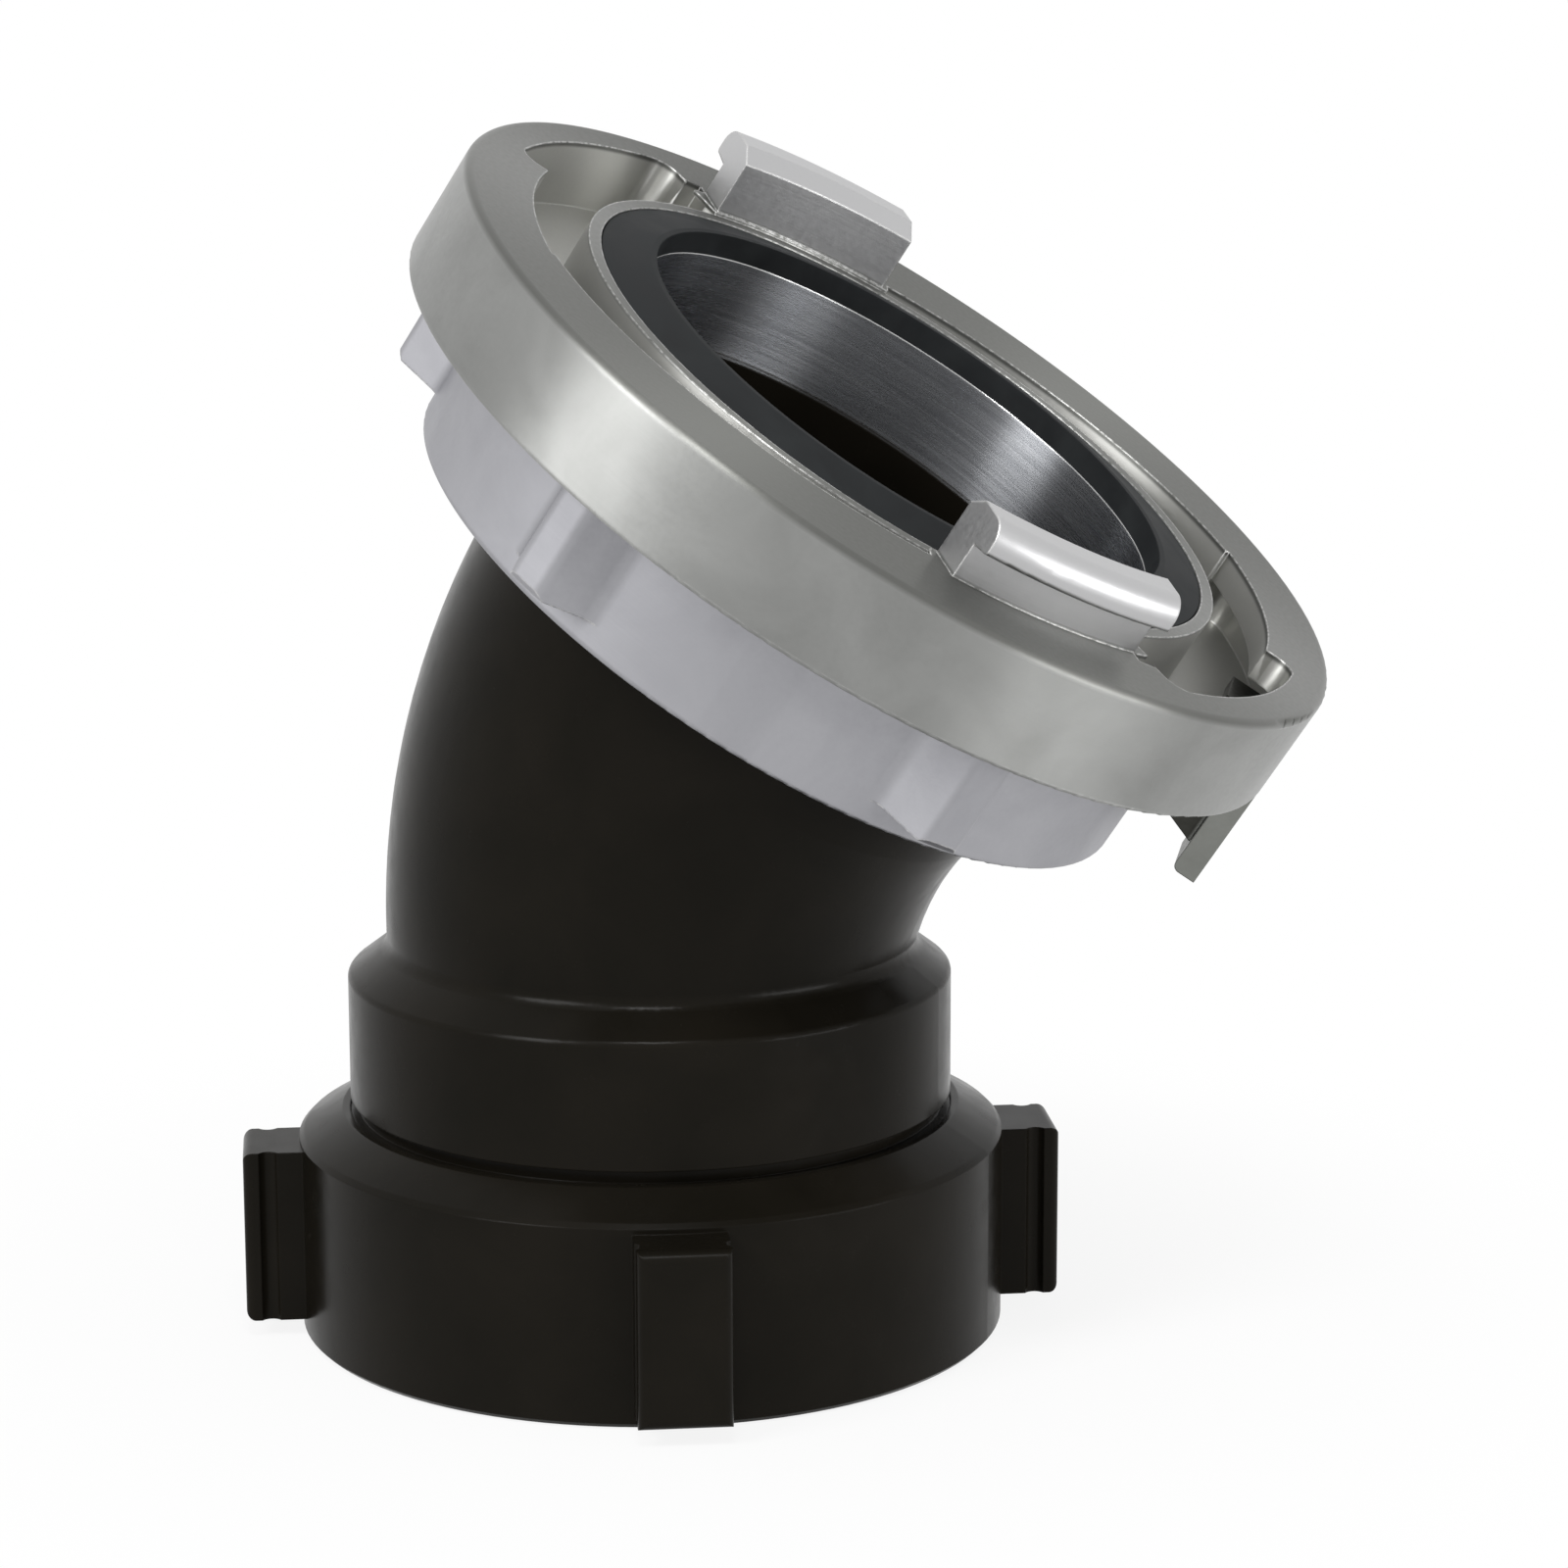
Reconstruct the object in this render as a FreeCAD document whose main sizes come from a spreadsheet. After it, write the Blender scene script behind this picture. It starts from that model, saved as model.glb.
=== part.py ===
import FreeCAD, Part
import math
import os
import re

import Sketcher
from FreeCAD import Placement, Rotation, Vector

# Fire hose elbow: a claw coupling head on a bent cast body, with a female hose thread on a
# free-turning swivel below. Millimetres. The origin is the centre of the swivel's lower face,
# +Z runs up through the swivel, and the body bends towards +X. Pieces of the head are built
# upright, with their own z = 0 on the coupling face, and are then tilted onto the bent end.

SIZES = {
    # line of the body
    "bend_angle": 33.5,
    "bend_radius": 112.0,
    "bend_point_height": 110.0,
    "face_distance": 101.5,
    # cast elbow
    "tail_wall": 3.8,
    "collar_step": 8.5,
    "shank_wall": 4.5,
    "spigot_wall": 4.5,
    "collar_gap": 1.2,
    "collar_height": 26.1,
    "collar_cone_height": 6.8,
    "collar_edge_round": 1.4,
    "collar_root_round": 3.0,
    "collar_sink": 0.6,
    "neck_groove_height": 2.6,
    "neck_groove_sink": 0.4,
    "neck_groove_depth": 2.0,
    "groove_room": 1.3,
    "spigot_step": 1.2,
    "bend_end_wall": 4.0,
    "shank_mouth_depth": 24.3,
    # threaded swivel
    "thread_major": 64.3,
    "thread_length": 21.5,
    "swivel_wall": 10.9,
    "swivel_wall_rise": 3.0,
    "swivel_top_rise": 2.8,
    "swivel_neck_land": 1.6,
    "swivel_edge": 1.0,
    "running_gap": 0.1,
    "cut_room": 1.0,
    "face_gap": 0.3,
    "gasket_room": 0.3,
    "gasket_relief": 1.5,
    "rocker_lug_count": 4,
    "rocker_lug_reach": 11.8,
    "rocker_lug_width": 18.8,
    "rocker_lug_bottom": 3.6,
    "rocker_lug_drop": 1.1,
    "rocker_lug_round": 2.0,
    "rocker_lug_edge_band": 0.6,
    "rocker_lug_root": 3.0,
    "rocker_groove_inset": 4.7,
    "rocker_groove_width": 3.8,
    "rocker_groove_round": 2.2,
    "rocker_lug_angle": 24.4,
    "tail_gasket_thickness": 3.2,
    "tail_gasket_drop": 2.3,
    "tail_gasket_inset": 0.4,
    "wire_rise": 11.0,
    "wire_radius": 2.5,
    "tail_ring_rise": 6.0,
    "tail_ring_radius": 1.25,
    "tail_seal_gap": 0.03,
    "wire_plug_radius": 3.4,
    "wire_plug_angle": 69.4,
    # shank of the head
    "head_bore": 59.2,
    "bore_edge_width": 3.3,
    "bore_edge_depth": 3.6,
    "gasket_land": 3.5,
    "gasket_step_depth": 8.0,
    "flange_bottom_depth": 15.0,
    "flange_width": 4.5,
    "shank_end_land": 3.2,
    "shank_ring_depth": 34.0,
    "shank_ring_radius": 0.98,
    "shank_seal_gap": 0.01,
    "grub_count": 3,
    "grub_radius": 2.5,
    "grub_drop": 4.0,
    "grub_sink": 0.4,
    "grub_socket": 1.45,
    "plug_socket": 2.3,
    "socket_depth": 2.4,
    # head gasket
    "gasket_lip_inset": 0.1,
    "gasket_lip_top": 1.5,
    "gasket_lip_width": 1.3,
    "gasket_outer_drop": 0.9,
    # claw ring
    "rim_wall": 2.8,
    "rim_step": 0.4,
    "rim_drop": 0.7,
    "band_depth": 23.4,
    "band_edge_round": 1.7,
    "band_back_round": 0.9,
    "skirt_reach": 16.1,
    "skirt_depth": 52.3,
    "skirt_edge_round": 1.3,
    "skirt_wall": 6.1,
    "skirt_bore_depth": 38.0,
    "slot_undercut": 6.8,
    "slot_roof": 7.0,
    "slot_depth": 15.3,
    "band_wall": 8.2,
    "slot_corner_round": 4.5,
    "window_start_angle": -30.0,
    "window_end_angle": 9.0,
    "slot_end_angle": 42.5,
    "channel_step": 0.7,
    "channel_end_width": 3.6,
    "channel_end_angle": 114.0,
    "channel_overlap_angle": 1.0,
    "washer_thickness": 2.0,
    "snap_ring_thickness": 2.5,
    "snap_ring_reach": 5.5,
    "snap_ring_gap_angle": 18.0,
    "snap_groove_bite": 1.5,
    "rear_washer_width": 7.5,
    # claws
    "claw_angle": 132.3,
    "claw_sweep_angle": 37.0,
    "claw_half_width": 22.0,
    "claw_thickness": 8.5,
    "claw_hook": 5.1,
    "slot_lip_gap": 5.7,
    "claw_height": 14.7,
    "claw_bevel_width": 4.2,
    "claw_bevel_drop": 2.8,
    "claw_under": 8.0,
    "claw_under_slope": 0.6,
    "claw_lip_round": 4.2,
    "claw_foot_round": 0.9,
    "claw_trim_room": 14.0,
    "claw_relief_reach": 4.0,
    # spanner lugs
    "lug_count": 5,
    "lug_pitch": 60.0,
    "lug_first_angle": 73.0,
    "lug_reach": 10.6,
    "lug_root_half": 10.5,
    "lug_ridge_half": 3.6,
    "lug_end_room": 5.3,
    "lug_ridge_round": 2.6,
    "lug_root_round": 4.0,
    "lug_end_bevel": 1.4,
    "lug_sink": 3.0,
    "lug_edge_sink": 0.9,
    # lock lever
    "lever_angle": 9.0,
    "lever_width": 13.8,
    "lever_side_gap": 0.5,
    "lever_room_wall": 2.2,
    "lever_room_reach": 11.8,
    "lever_room_roof": 8.8,
    "lever_pin_inset": 5.3,
    "lever_pin_depth": 20.0,
    "lever_pin_radius": 1.6,
    "lever_pin_gap": 0.05,
    "lever_pin_hold": 5.6,
    "lever_nose_length": 9.2,
    "lever_nose_gap": 1.8,
    "lever_nose_thickness": 3.1,
    "lever_back_drop": 0.3,
    "lever_thickness": 5.4,
    "lever_bottom_depth": 47.3,
    "lever_tip_round": 1.6,
    "lever_step": 1.2,
    "lever_back_gap": 0.9,
    "lever_heel_rise": 5.0,
    "lever_heel_reach": 2.5,
    "lever_throat_depth": 31.0,
    "lever_web_width": 7.0,
    "lever_web_drop": 11.9,
    "lever_web_toe": 39.2,
    "lever_web_slope": 2.8,
    "lever_hub": 3.8,
    "lever_stop_depth": 28.0,
    "spring_depth": 32.5,
    "spring_wire": 0.45,
    "spring_turns": 6,
    "spring_coil": 2.6,
    "spring_seat_sink": 3.5,
    "spring_seat_radius": 3.4,
}

# Radii that follow from the hose thread, at the lower end, and from the bore of the head.
RADII = {
    "collar_outer": "thread_major - collar_gap",
    "tail_outer": "collar_outer - collar_step",
    "tail_bore": "tail_outer - tail_wall",
    "tail_gasket_inner": "tail_bore + tail_gasket_inset",
    "gasket_pocket": "thread_major + gasket_relief",
    "swivel_bore": "collar_outer + running_gap",
    "swivel_outer": "collar_outer + swivel_wall",
    "rocker_lug_tip": "swivel_outer + rocker_lug_reach",
    "rocker_groove_start": "swivel_outer + rocker_groove_inset",
    "rocker_groove_end": "rocker_groove_start + rocker_groove_width",
    "wire_reach": "collar_outer + running_gap / 2",
    "wire_plug_reach": "collar_outer + wire_radius + running_gap * 2",
    "gasket_lip": "head_bore + gasket_lip_inset",
    "gasket_step": "head_bore + bore_edge_width",
    "shank_outer": "gasket_step + gasket_land",
    "spigot_outer": "shank_outer - shank_wall",
    "spigot_bore": "spigot_outer - spigot_wall",
    "bend_end_outer": "spigot_outer - spigot_step",
    "bend_end_bore": "bend_end_outer - bend_end_wall",
    "flange_outer": "shank_outer + flange_width",
    "rim_inner": "flange_outer + face_gap",
    "rim_outer": "rim_inner + rim_wall",
    "claw_inner": "rim_outer + rim_step",
    "claw_stem": "claw_inner + claw_thickness",
    "claw_lip": "claw_stem + claw_hook",
    "slot_wall": "claw_lip + slot_lip_gap",
    "slot_outer": "slot_wall - slot_undercut",
    "channel_reach": "slot_outer - channel_step",
    "channel_end_reach": "rim_outer + channel_end_width",
    "band_outer": "slot_wall + band_wall",
    "ring_bore": "shank_outer + running_gap",
    "snap_ring_outer": "shank_outer + snap_ring_reach",
    "rear_washer_outer": "shank_outer + rear_washer_width",
    "skirt_outer": "shank_outer + skirt_reach",
    "skirt_inner": "skirt_outer - skirt_wall",
    "lug_ridge": "skirt_outer + lug_reach",
    "spring_seat": "skirt_outer - spring_seat_sink",
    "room_outer": "band_outer - lever_room_wall",
    "room_inner": "room_outer - lever_room_reach",
    "pin_reach": "room_outer - lever_pin_inset",
    "lever_back": "band_outer - lever_back_drop",
    "lever_front": "lever_back - lever_thickness",
    "web_reach": "band_outer - lever_web_drop",
}

# Heights of the lower end that follow from the hose thread's length: the flat gasket seats above
# the thread, the wire and its seal lie above the gasket, and the swivel ends above them.
HEIGHTS = {
    "tail_bottom": "thread_length + tail_gasket_drop + tail_gasket_thickness",
    "wire_height": "tail_bottom + wire_rise",
    "tail_ring_height": "wire_height + tail_ring_rise",
    "swivel_wall_top": "wire_height + swivel_wall_rise",
    "swivel_top": "tail_ring_height + swivel_top_rise",
    "neck_groove_top": "swivel_top + neck_groove_height",
    "collar_top": "neck_groove_top + collar_height",
    "rocker_lug_height": "swivel_wall_top - rocker_lug_bottom - rocker_lug_drop",
}

# Depths below the coupling face that follow from the ring's seat and its skirt: the liner's screws
# and its end lie behind the snap ring, the spanner lugs end a little short of the skirt, and the
# lever's nose stands just above the slot's floor.
DEPTHS = {
    "snap_groove_depth": "skirt_bore_depth + face_gap + washer_thickness",
    "grub_depth": "snap_groove_depth + snap_ring_thickness + grub_drop",
    "shank_bottom_depth": "grub_depth + shank_end_land",
    "lug_bottom_depth": "skirt_depth - lug_end_room",
    "lever_nose_bottom": "slot_depth - lever_nose_gap",
    "lever_nose_top": "lever_nose_bottom - lever_nose_thickness",
}

WORDS = {name: f"sizes.{name}" for name in SIZES}

# How close, in mm, an edge has to be to the place where it is looked for.
SAME = 0.01
CLOSE = 0.2
ROUGH = 3.0

doc = FreeCAD.newDocument("claw_elbow")


def fill_sheet():
    """Write each driving size into the sheet, beside its name, and give its cell that alias."""
    table = doc.addObject("Spreadsheet::Sheet", "sizes")
    for row, (name, value) in enumerate(SIZES.items(), start=1):
        table.set(f"A{row}", name)
        table.set(f"B{row}", str(value))
        table.setAlias(f"B{row}", name)
    doc.recompute()
    return table


sheet = fill_sheet()


def bound(text):
    """Turn a formula in plain size names into one that points at the sheet's cells."""
    return re.sub(r"[a-z_]+", lambda word: WORDS.get(word.group(), word.group()), text)


for follower, formula in {**RADII, **HEIGHTS, **DEPTHS}.items():
    WORDS[follower] = f"( {bound(formula)} )"


def value(text):
    """The number that a formula in size names gives now."""
    result = sheet.evalExpression(bound(text))
    return float(getattr(result, "Value", result))


HEAD_X = "face_distance * sin(bend_angle * 1 deg)"
HEAD_Z = "bend_point_height + face_distance * cos(bend_angle * 1 deg)"
BEND_START = "( bend_point_height - bend_radius * tan(bend_angle * 0.5 deg) )"
BEND_END_DEPTH = "( bend_radius * tan(bend_angle * 0.5 deg) - face_distance )"
BEND_END_X = "( bend_radius * ( 1 - cos(bend_angle * 1 deg) ) )"
BEND_END_Z = f"( {BEND_START} + bend_radius * sin(bend_angle * 1 deg) )"
BEND_MIDDLE_X = "( bend_radius * ( 1 - cos(bend_angle * 0.5 deg) ) )"
BEND_MIDDLE_Z = f"( {BEND_START} + bend_radius * sin(bend_angle * 0.5 deg) )"
RING_SHOULDER = "( 0 - flange_bottom_depth - washer_thickness - face_gap )"
REAR_WASHER_DEPTH = "( skirt_bore_depth + face_gap )"


def new_body(label, on_head=False):
    """An empty body; one of the head is turned and carried onto the tilted coupling face."""
    body = doc.addObject("PartDesign::Body", label)
    body.Label = label
    if on_head:
        body.Placement = Placement(Vector(), Rotation(Vector(0, 1, 0), value("bend_angle")))
        body.setExpression("Placement.Rotation.Angle", bound("bend_angle"))
        body.setExpression("Placement.Base.x", bound(HEAD_X))
        body.setExpression("Placement.Base.z", bound(HEAD_Z))
    return body


def origin_plane(body, role):
    for feature in body.Origin.OriginFeatures:
        if feature.Role == role:
            return feature
    raise ValueError(role)


def new_sketch(body, name, role="XZ_Plane", turn=None, height=None):
    """A sketch on an origin plane, turned about the body's z or lifted along it by a formula."""
    sketch = body.newObject("Sketcher::SketchObject", name)
    sketch.AttachmentSupport = [(origin_plane(body, role), "")]
    sketch.MapMode = "FlatFace"
    if turn is not None:
        about = Vector(0, 0, 1) if role == "XY_Plane" else Vector(0, 1, 0)
        sketch.AttachmentOffset = Placement(Vector(), Rotation(about, value(turn)))
        sketch.setExpression("AttachmentOffset.Rotation.Angle", bound(turn))
    if height is not None:
        sketch.setExpression("AttachmentOffset.Base.z", bound(height))
    return sketch


def radial_sketch(body, name, angle, reach):
    """A sketch that faces outwards at an angle about z, at a distance from the axis."""
    sketch = new_sketch(body, name, role="YZ_Plane", turn=angle)
    sketch.setExpression("AttachmentOffset.Base.x", bound(f"{reach} * sin({angle} * 1 deg)"))
    sketch.setExpression("AttachmentOffset.Base.z", bound(f"{reach} * cos({angle} * 1 deg)"))
    return sketch


def pin_point(sketch, edge, end, across, up):
    """Hold one end of an edge at a place given by two formulas."""
    for kind, text in (("DistanceX", across), ("DistanceY", up)):
        place = sketch.addConstraint(
            Sketcher.Constraint(kind, -1, 1, edge, end, value(text))
        )
        sketch.setExpression(f"Constraints[{place}]", bound(text))


def polar_point(reach, angle):
    """Two formulas for the place at a distance and an angle from a sketch's origin."""
    return f"{reach} * cos({angle} * 1 deg)", f"{reach} * sin({angle} * 1 deg)"


def bowed(start, end, radius):
    """An arc between two points that bows to the right of the way, or to the left of it if the
    radius is negative."""
    way = end - start
    side = Vector(way.y, -way.x, 0).normalize()
    rise = abs(radius) - math.sqrt(radius ** 2 - (way.Length / 2) ** 2)
    return Part.Arc(start, (start + end) / 2 + side * math.copysign(rise, radius), end)


def outline(sketch, points):
    """A closed outline through points, each a pair of formulas in size names; a third formula
    makes the edge from that point to the next an arc of that radius."""
    spots = [Vector(value(point[0]), value(point[1]), 0) for point in points]
    edges = []
    turned_back = []
    for index, point in enumerate(points):
        start = spots[index]
        end = spots[(index + 1) % len(spots)]
        radius = value(point[2]) if len(point) > 2 else 0
        edges.append(bowed(start, end, radius) if radius else Part.LineSegment(start, end))
        turned_back.append(radius < 0)
    first = sketch.addGeometry(edges, False)[0]
    for index, point in enumerate(points):
        before = (index - 1) % len(points)
        leaving = 1 if turned_back[before] else 2
        entering = 2 if turned_back[index] else 1
        sketch.addConstraint(
            Sketcher.Constraint("Coincident", first + before, leaving, first + index, entering)
        )
        pin_point(sketch, first + index, entering, point[0], point[1])
        if len(point) > 2:
            bend = f"-1 * ( {point[2]} )" if turned_back[index] else point[2]
            place = sketch.addConstraint(Sketcher.Constraint("Radius", first + index, value(bend)))
            sketch.setExpression(f"Constraints[{place}]", bound(bend))
    return sketch


def circle(sketch, across, up, radius):
    """A full circle whose centre and radius are formulas in size names."""
    centre = Vector(value(across), value(up), 0)
    edge = sketch.addGeometry(Part.Circle(centre, Vector(0, 0, 1), value(radius)), False)
    pin_point(sketch, edge, 3, across, up)
    place = sketch.addConstraint(Sketcher.Constraint("Radius", edge, value(radius)))
    sketch.setExpression(f"Constraints[{place}]", bound(radius))
    return sketch


def hexagon(sketch, up, radius):
    """A regular hexagon about a point on the sketch's upright axis."""
    corners = [
        (f"{radius} * cos({step * 60} deg)", f"{up} + {radius} * sin({step * 60} deg)")
        for step in range(6)
    ]
    return outline(sketch, corners)


def feature(body, kind, name, sketch, **settings):
    """Add a feature on a sketch and set its properties; a text is a formula in size names."""
    made = body.newObject(f"PartDesign::{kind}", name)
    made.Profile = sketch
    if kind in ("Revolution", "Groove"):
        made.ReferenceAxis = (sketch, ["V_Axis"])
    for key, setting in settings.items():
        if isinstance(setting, str):
            made.setExpression(key, bound(setting))
        else:
            setattr(made, key, setting)
    sketch.Visibility = False
    doc.recompute()
    return made


def turned(body, name, points, **settings):
    """Turn an outline in (radius, height) about the body's axis."""
    sketch = outline(new_sketch(body, f"{name}_outline"), points)
    return feature(body, "Revolution", name, sketch, **(settings or {"Angle": "360"}))


def round_groove(body, name, radius, height, wire):
    """Turn a round groove of a wire's radius into the body."""
    sketch = circle(new_sketch(body, f"{name}_section"), radius, height, wire)
    return feature(body, "Groove", name, sketch, Angle="360")


def polar(body, name, originals, count, angle):
    """Repeat features about the body's axis."""
    pattern = body.newObject("PartDesign::PolarPattern", name)
    pattern.Originals = originals
    pattern.Axis = (origin_plane(body, "Z_Axis"), [""])
    pattern.setExpression("Occurrences", bound(count))
    pattern.setExpression("Angle", bound(angle))
    body.Tip = pattern
    doc.recompute()
    return pattern


def edges_where(shape, test):
    """Names of the edges whose middle point, in the body's own frame, passes a test."""
    names = []
    for index, edge in enumerate(shape.Edges, start=1):
        middle = edge.valueAt((edge.FirstParameter + edge.LastParameter) / 2)
        if test(middle, edge):
            names.append(f"Edge{index}")
    return names


def dress(body, kind, name, base, test, **settings):
    """A fillet or chamfer on the edges of a feature that pass a test."""
    made = body.newObject(f"PartDesign::{kind}", name)
    made.Base = (base, edges_where(base.Shape, test))
    for key, setting in settings.items():
        made.setExpression(key, bound(setting))
    doc.recompute()
    return made


def radius_of(point):
    return math.hypot(point.x, point.y)


def near(number, text, margin=SAME):
    return abs(number - value(text)) < margin


def rim_circle(radius, height):
    """A test for full or part circles about the body's axis."""
    return lambda middle, edge: near(radius_of(middle), radius) and near(middle.z, height)


def upright_at(radius, margin=CLOSE):
    """A test for edges along the body's axis that stand at a radius."""

    def test(middle, edge):
        ends = [vertex.Point for vertex in edge.Vertexes]
        if len(ends) != 2 or math.hypot(ends[0].x - ends[1].x, ends[0].y - ends[1].y) > margin:
            return False
        return near(radius_of(middle), radius, margin)

    return test


def pad_down(body, name, sketch, length):
    return feature(body, "Pad", name, sketch, Length=length, Reversed=True)


def head_section(body, name):
    """A sketch in (radius, distance from the face) on the head's own tilted axis."""
    sketch = new_sketch(body, name)
    tilt = Rotation(Vector(0, 0, 1), -value("bend_angle"))
    sketch.AttachmentOffset = Placement(Vector(value(HEAD_X), value(HEAD_Z), 0), tilt)
    sketch.setExpression("AttachmentOffset.Rotation.Angle", bound("bend_angle * -1"))
    sketch.setExpression("AttachmentOffset.Base.x", bound(HEAD_X))
    sketch.setExpression("AttachmentOffset.Base.y", bound(HEAD_Z))
    return sketch


def bend_end_section(body, name, radius):
    """A circle across the far end of the bend."""
    sketch = new_sketch(body, name, role="XY_Plane")
    tilt = Rotation(Vector(0, 1, 0), value("bend_angle"))
    sketch.AttachmentOffset = Placement(Vector(value(BEND_END_X), 0, value(BEND_END_Z)), tilt)
    sketch.setExpression("AttachmentOffset.Rotation.Angle", bound("bend_angle"))
    sketch.setExpression("AttachmentOffset.Base.x", bound(BEND_END_X))
    sketch.setExpression("AttachmentOffset.Base.z", bound(BEND_END_Z))
    return circle(sketch, "0", "0", radius)


def bend_line(body, name):
    """The arc that the casting follows between its two straight ends."""
    sketch = new_sketch(body, name)
    spots = [
        Vector(value(across), value(up), 0)
        for across, up in (("0", BEND_START), (BEND_MIDDLE_X, BEND_MIDDLE_Z), (BEND_END_X, BEND_END_Z))
    ]
    arc = sketch.addGeometry(Part.Arc(*spots), False)
    reach = sketch.addConstraint(Sketcher.Constraint("Radius", arc, value("bend_radius")))
    sketch.setExpression(f"Constraints[{reach}]", bound("bend_radius"))
    pin_point(sketch, arc, 3, "bend_radius", BEND_START)
    return sketch


def bend_pipe(body, kind, name, start_radius, end_radius):
    """A pipe along the bend whose section grows from one radius to the other."""
    foot = new_sketch(body, f"{name}_start", role="XY_Plane", height=BEND_START)
    start = circle(foot, "0", "0", start_radius)
    finish = bend_end_section(body, f"{name}_finish", end_radius)
    path = bend_line(body, f"{name}_line")
    made = body.newObject(f"PartDesign::{kind}", name)
    made.Profile = start
    made.Spine = path
    made.Sections = [finish]
    made.Transformation = "Multisection"
    doc.recompute()
    return made


def make_elbow_body():
    """Bent casting: plain spigots at both ends, a collar above the swivel, a growing waterway."""
    body = new_body("elbow_body")
    turned(
        body,
        "collar",
        [
            ("0", "tail_bottom"),
            ("collar_outer", "tail_bottom"),
            ("collar_outer", "collar_top"),
            ("tail_outer - collar_sink", "collar_top + collar_cone_height"),
            ("0", "collar_top + collar_cone_height"),
        ],
    )
    turned(
        body,
        "tail_tube",
        [
            ("0", "tail_bottom"),
            ("tail_outer", "tail_bottom"),
            ("tail_outer", BEND_START),
            ("0", BEND_START),
        ],
    )
    bend = bend_pipe(body, "AdditivePipe", "bend", "tail_outer", "bend_end_outer")
    shoulder = dress(
        body,
        "Fillet",
        "collar_edge",
        bend,
        rim_circle("collar_outer", "collar_top"),
        Radius="collar_edge_round",
    )
    half_way = "collar_top + collar_cone_height / 2"
    cone_end = "collar_top + collar_cone_height - collar_sink / 2"
    dress(
        body,
        "Fillet",
        "collar_root",
        shoulder,
        lambda middle, edge: near(radius_of(middle), "tail_outer", ROUGH)
        and value(half_way) < middle.z < value(cone_end),
        Radius="collar_root_round",
    )
    spigot = outline(
        head_section(body, "head_spigot_outline"),
        [
            ("0", BEND_END_DEPTH),
            ("bend_end_outer", BEND_END_DEPTH),
            ("spigot_outer", "0 - shank_bottom_depth"),
            ("spigot_outer", "0 - shank_mouth_depth"),
            ("0", "0 - shank_mouth_depth"),
        ],
    )
    feature(body, "Revolution", "head_spigot", spigot, Angle="360")
    waterway = outline(
        new_sketch(body, "tail_bore_outline"),
        [
            ("0", "tail_bottom - cut_room"),
            ("tail_bore", "tail_bottom - cut_room"),
            ("tail_bore", BEND_START),
            ("0", BEND_START),
        ],
    )
    feature(body, "Groove", "tail_waterway", waterway, Angle="360")
    bend_pipe(body, "SubtractivePipe", "bend_waterway", "tail_bore", "bend_end_bore")
    mouth = outline(
        head_section(body, "head_bore_outline"),
        [
            ("0", BEND_END_DEPTH),
            ("bend_end_bore", BEND_END_DEPTH),
            ("spigot_bore", "0 - shank_bottom_depth"),
            ("spigot_bore", "cut_room - shank_mouth_depth"),
            ("0", "cut_room - shank_mouth_depth"),
        ],
    )
    feature(body, "Groove", "head_waterway", mouth, Angle="360")
    round_groove(body, "wire_race", "wire_reach", "wire_height", "wire_radius + running_gap")
    tail_floor = "collar_outer - tail_ring_radius * 2 + running_gap"
    tail_half = "tail_ring_radius * groove_room"
    seal = outline(
        new_sketch(body, "tail_ring_outline"),
        [
            (tail_floor, f"tail_ring_height - {tail_half}"),
            ("collar_outer + cut_room", f"tail_ring_height - {tail_half}"),
            ("collar_outer + cut_room", f"tail_ring_height + {tail_half}"),
            (tail_floor, f"tail_ring_height + {tail_half}"),
        ],
    )
    feature(body, "Groove", "tail_ring_groove", seal, Angle="360")
    neck = outline(
        new_sketch(body, "neck_groove_outline"),
        [
            ("collar_outer - neck_groove_depth", "swivel_top - neck_groove_sink"),
            ("collar_outer + cut_room", "swivel_top - neck_groove_sink"),
            ("collar_outer + cut_room", "neck_groove_top"),
            ("collar_outer - neck_groove_depth", "neck_groove_top"),
        ],
    )
    feature(body, "Groove", "neck_groove", neck, Angle="360")
    shank_floor = "spigot_outer - shank_ring_radius * 2"
    shank_half = "shank_ring_radius * groove_room"
    ring = outline(
        head_section(body, "shank_ring_outline"),
        [
            (shank_floor, f"0 - shank_ring_depth - {shank_half}"),
            ("spigot_outer + cut_room", f"0 - shank_ring_depth - {shank_half}"),
            ("spigot_outer + cut_room", f"{shank_half} - shank_ring_depth"),
            (shank_floor, f"{shank_half} - shank_ring_depth"),
        ],
    )
    feature(body, "Groove", "shank_ring_groove", ring, Angle="360")
    return body


def make_round_ring(label, radius, height, wire, on_head=False):
    """A ring of round section, such as a seal or a wire."""
    body = new_body(label, on_head)
    section = circle(new_sketch(body, f"{label}_section"), radius, height, wire)
    feature(body, "Revolution", f"{label}_torus", section, Angle="360")
    return body


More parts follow.
